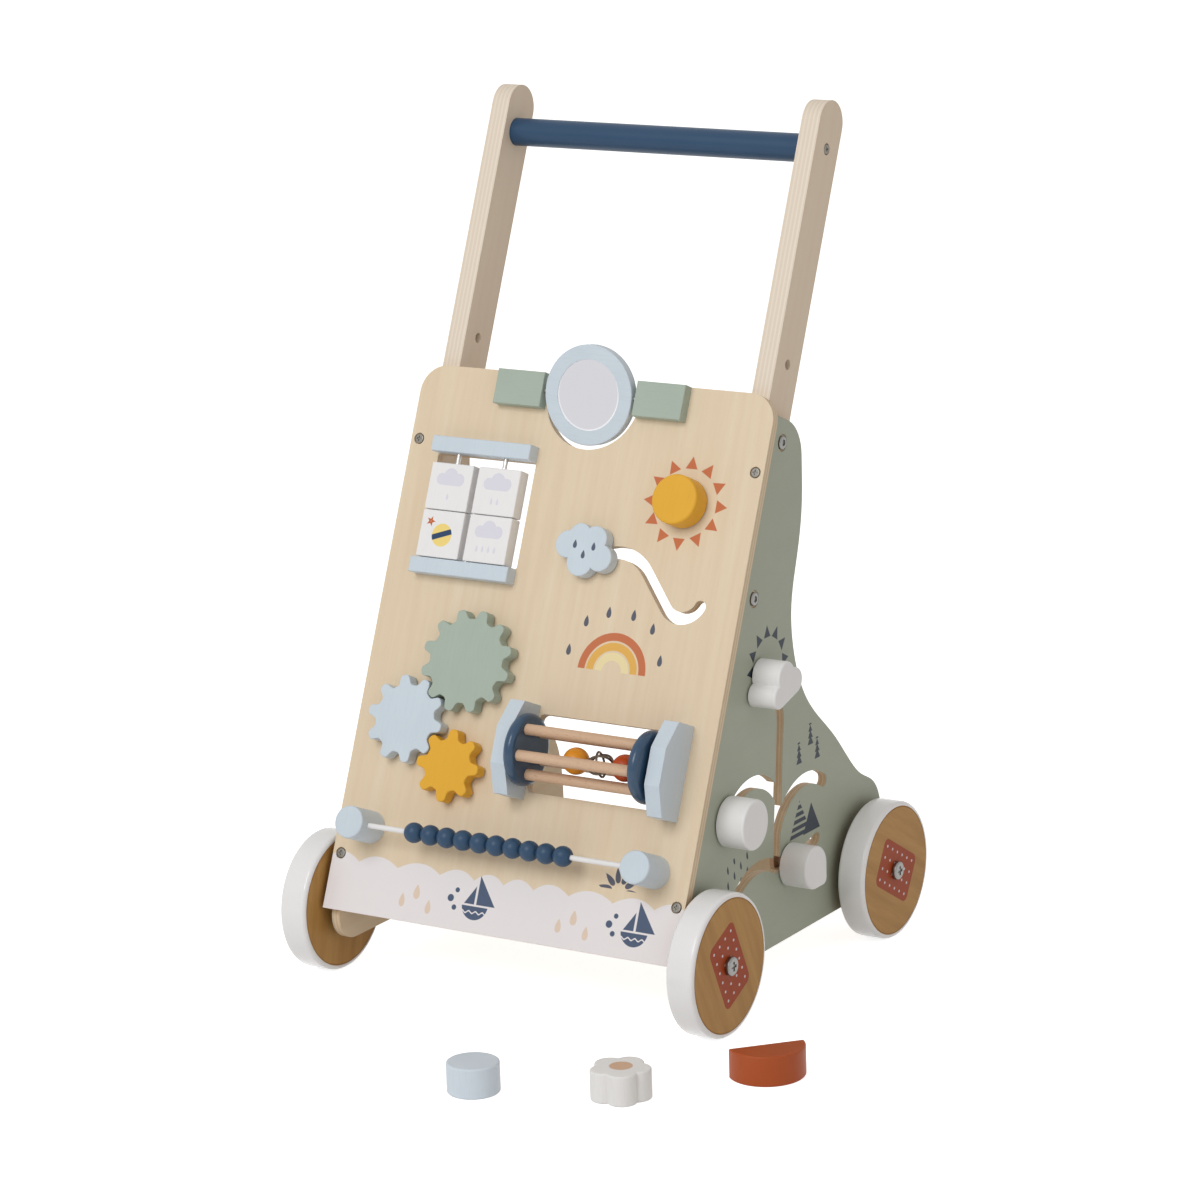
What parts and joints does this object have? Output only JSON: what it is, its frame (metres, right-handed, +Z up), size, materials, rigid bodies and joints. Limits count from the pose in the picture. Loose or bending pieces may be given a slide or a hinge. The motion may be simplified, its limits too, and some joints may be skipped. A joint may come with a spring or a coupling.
{
  "type": "baby walker",
  "caption": "Wooden push walker: a leaning activity panel between two side panels on wheels, with a handlebar, gears, a drum, an abacus, a flip mirror, a maze and loose shape blocks.",
  "frame": {"origin": "on the floor, in the middle of the rectangle that the walker and its loose blocks fill", "axes": "+Z up, +X to the side with the maze, +Y from the activity panel to the rear"},
  "size_m": [0.3826, 0.4284, 0.5453],
  "materials": {
    "plywood": "clear matt varnish",
    "solid_wood": "clear matt varnish",
    "sage_paint": "matt sage paint on plywood",
    "light_blue_paint": "satin light blue paint on wood",
    "dark_blue_paint": "satin dark blue paint on wood",
    "yellow_paint": "satin yellow paint on wood",
    "rust_paint": "satin rust paint on wood",
    "white_paint": "satin white paint on wood",
    "steel": "zinc plated",
    "mirror_face": "silvered acrylic",
    "bell_metal": "polished"
  },
  "bodies": {
    "frame": {"front_panel": "plywood", "left_side_panel": "sage_paint", "right_side_panel": "sage_paint", "left_upright": "plywood", "right_upright": "plywood", "handlebar": "dark_blue_paint", "wood_screws": "steel", "frame_bolts": "steel", "rear_rail": "plywood", "mirror_blocks": "sage_paint", "pivot_pins": "steel", "window_bars": "light_blue_paint", "window_rods": "steel", "drum_brackets": "light_blue_paint", "abacus_posts": "light_blue_paint", "abacus_rod": "white_paint"},
    "mirror": {"mirror_ring": "light_blue_paint", "mirror_glass": "mirror_face"},
    "sun": {"sun_knob": "yellow_paint", "sun_peg": "solid_wood"},
    "cloud": {"cloud_slider": "light_blue_paint", "cloud_peg": "solid_wood"},
    "drum": {"drum_discs": "dark_blue_paint", "drum_dowels": "solid_wood"},
    "green_wheel": {"green_gear": "sage_paint", "green_gear_peg": "solid_wood"},
    "blue_wheel": {"blue_gear": "light_blue_paint", "blue_gear_peg": "solid_wood"},
    "yellow_wheel": {"yellow_gear": "yellow_paint", "yellow_gear_peg": "solid_wood"},
    "lower_left_block": {"lower_left_window_block": "white_paint"},
    "upper_left_block": {"upper_left_window_block": "white_paint"},
    "lower_right_block": {"lower_right_window_block": "white_paint"},
    "upper_right_block": {"upper_right_window_block": "white_paint"},
    "orange_ball_body": {"orange_ball": "yellow_paint"},
    "wire_bell_body": {"wire_bell": "bell_metal"},
    "red_ball_body": {"red_ball": "rust_paint"},
    "bead_1_body": {"bead_1": "dark_blue_paint"},
    "bead_2_body": {"bead_2": "dark_blue_paint"},
    "bead_3_body": {"bead_3": "dark_blue_paint"},
    "bead_4_body": {"bead_4": "dark_blue_paint"},
    "bead_5_body": {"bead_5": "dark_blue_paint"},
    "bead_6_body": {"bead_6": "dark_blue_paint"},
    "bead_7_body": {"bead_7": "dark_blue_paint"},
    "bead_8_body": {"bead_8": "dark_blue_paint"},
    "bead_9_body": {"bead_9": "dark_blue_paint"},
    "bead_10_body": {"bead_10": "dark_blue_paint"},
    "front_right_wheel_body": {"front_right_wheel": "white_paint"},
    "front_left_wheel_body": {"front_left_wheel": "white_paint"},
    "rear_right_wheel_body": {"rear_right_wheel": "white_paint"},
    "rear_left_wheel_body": {"rear_left_wheel": "white_paint"},
    "crown": {"crown_knob": "white_paint", "crown_knob_peg": "solid_wood"},
    "round": {"round_knob": "white_paint", "round_knob_peg": "solid_wood"},
    "leaf": {"leaf_knob": "white_paint", "leaf_knob_peg": "solid_wood"},
    "round_block_body": {"round_block": "light_blue_paint"},
    "flower_block_body": {"flower_block": "white_paint"},
    "half_moon_block_body": {"half_moon_block": "rust_paint"}
  },
  "joints": [
    {"name": "green_gear_turn", "type": "hinge", "parent": "frame", "child": "green_wheel", "pos_m": [-0.0877, -0.00904, 0.20263], "axis": [0, -0.9205, 0.3907], "continuous": true},
    {"name": "blue_gear_turn", "type": "hinge", "parent": "frame", "child": "blue_wheel", "pos_m": [-0.12505, -0.02513, 0.16472], "axis": [0, -0.9205, 0.3907], "continuous": true},
    {"name": "yellow_gear_turn", "type": "hinge", "parent": "frame", "child": "yellow_wheel", "pos_m": [-0.08724, -0.03509, 0.14125], "axis": [0, -0.9205, 0.3907], "continuous": true},
    {"name": "mirror_flip", "type": "hinge", "parent": "frame", "child": "mirror", "pos_m": [-0.0362, 0.05638, 0.36699], "axis": [1, 0, 0], "continuous": true},
    {"name": "lower_left_block_turn", "type": "hinge", "parent": "frame", "child": "lower_left_block", "pos_m": [-0.12415, 0.02411, 0.29351], "axis": [0, 0.3907, 0.9205], "continuous": true},
    {"name": "upper_left_block_turn", "type": "hinge", "parent": "frame", "child": "upper_left_block", "pos_m": [-0.12415, 0.02411, 0.29351], "axis": [0, 0.3907, 0.9205], "continuous": true},
    {"name": "lower_right_block_turn", "type": "hinge", "parent": "frame", "child": "lower_right_block", "pos_m": [-0.08865, 0.02411, 0.29351], "axis": [0, 0.3907, 0.9205], "continuous": true},
    {"name": "upper_right_block_turn", "type": "hinge", "parent": "frame", "child": "upper_right_block", "pos_m": [-0.08865, 0.02411, 0.29351], "axis": [0, 0.3907, 0.9205], "continuous": true},
    {"name": "sun_turn", "type": "hinge", "parent": "frame", "child": "sun", "pos_m": [0.043, 0.03605, 0.30886], "axis": [0, -0.9205, 0.3907], "continuous": true},
    {"name": "cloud_swing", "type": "hinge", "parent": "frame", "child": "cloud", "pos_m": [0.0035, 0.01163, 0.25133], "axis": [0, -0.9205, 0.3907], "range_deg": [-89, 0]},
    {"name": "drum_roll", "type": "hinge", "parent": "frame", "child": "drum", "pos_m": [0.01705, -0.04434, 0.16297], "axis": [1, 0, 0], "continuous": true},
    {"name": "orange_ball_roll", "type": "slide", "parent": "frame", "child": "orange_ball_body", "axis": [1, 0, 0], "range_m": [-0.0239, 0.002]},
    {"name": "wire_bell_roll", "type": "slide", "parent": "orange_ball_body", "child": "wire_bell_body", "axis": [1, 0, 0], "range_m": [0, 0.0013]},
    {"name": "red_ball_roll", "type": "slide", "parent": "wire_bell_body", "child": "red_ball_body", "axis": [1, 0, 0], "range_m": [0, 0.0013]},
    {"name": "bead_1_slide", "type": "slide", "parent": "frame", "child": "bead_1_body", "axis": [1, 0, 0], "range_m": [-0.027, 0.012]},
    {"name": "bead_2_slide", "type": "slide", "parent": "bead_1_body", "child": "bead_2_body", "axis": [1, 0, 0], "range_m": [0, 0.003]},
    {"name": "bead_3_slide", "type": "slide", "parent": "bead_2_body", "child": "bead_3_body", "axis": [1, 0, 0], "range_m": [0, 0.003]},
    {"name": "bead_4_slide", "type": "slide", "parent": "bead_3_body", "child": "bead_4_body", "axis": [1, 0, 0], "range_m": [0, 0.003]},
    {"name": "bead_5_slide", "type": "slide", "parent": "bead_4_body", "child": "bead_5_body", "axis": [1, 0, 0], "range_m": [0, 0.003]},
    {"name": "bead_6_slide", "type": "slide", "parent": "bead_5_body", "child": "bead_6_body", "axis": [1, 0, 0], "range_m": [0, 0.003]},
    {"name": "bead_7_slide", "type": "slide", "parent": "bead_6_body", "child": "bead_7_body", "axis": [1, 0, 0], "range_m": [0, 0.003]},
    {"name": "bead_8_slide", "type": "slide", "parent": "bead_7_body", "child": "bead_8_body", "axis": [1, 0, 0], "range_m": [0, 0.003]},
    {"name": "bead_9_slide", "type": "slide", "parent": "bead_8_body", "child": "bead_9_body", "axis": [1, 0, 0], "range_m": [0, 0.003]},
    {"name": "bead_10_slide", "type": "slide", "parent": "bead_9_body", "child": "bead_10_body", "axis": [1, 0, 0], "range_m": [0, 0.003]},
    {"name": "front_right_wheel_spin", "type": "hinge", "parent": "frame", "child": "front_right_wheel_body", "pos_m": [0.0968, -0.04575, 0.045], "axis": [1, 0, 0], "continuous": true},
    {"name": "front_left_wheel_spin", "type": "hinge", "parent": "frame", "child": "front_left_wheel_body", "pos_m": [-0.1692, -0.04575, 0.045], "axis": [1, 0, 0], "continuous": true},
    {"name": "rear_right_wheel_spin", "type": "hinge", "parent": "frame", "child": "rear_right_wheel_body", "pos_m": [0.0968, 0.16925, 0.045], "axis": [1, 0, 0], "continuous": true},
    {"name": "rear_left_wheel_spin", "type": "hinge", "parent": "frame", "child": "rear_left_wheel_body", "pos_m": [-0.1692, 0.16925, 0.045], "axis": [1, 0, 0], "continuous": true},
    {"name": "crown_knob_swing", "type": "hinge", "parent": "frame", "child": "crown", "pos_m": [0.0908, 0.04145, 0.16945], "axis": [1, 0, 0], "range_deg": [-98, 0]},
    {"name": "round_knob_swing", "type": "hinge", "parent": "frame", "child": "round", "pos_m": [0.0908, 0.02905, 0.0988], "axis": [1, 0, 0], "range_deg": [-104, 0]},
    {"name": "leaf_knob_swing", "type": "hinge", "parent": "frame", "child": "leaf", "pos_m": [0.0908, 0.07795, 0.182], "axis": [1, 0, 0], "range_deg": [-8, 19]},
    {"name": "round_block_lift", "type": "slide", "parent": "frame", "child": "round_block_body", "axis": [0, 0, 1], "range_m": [0, 0.06]},
    {"name": "flower_block_lift", "type": "slide", "parent": "frame", "child": "flower_block_body", "axis": [0, 0, 1], "range_m": [0, 0.06]},
    {"name": "half_moon_block_lift", "type": "slide", "parent": "frame", "child": "half_moon_block_body", "axis": [0, 0, 1], "range_m": [0, 0.06]}
  ],
  "couplings": [
    {"joint": "blue_gear_turn", "follows": "green_gear_turn", "ratio": -1.2},
    {"joint": "yellow_gear_turn", "follows": "green_gear_turn", "ratio": 1.5}
  ]
}
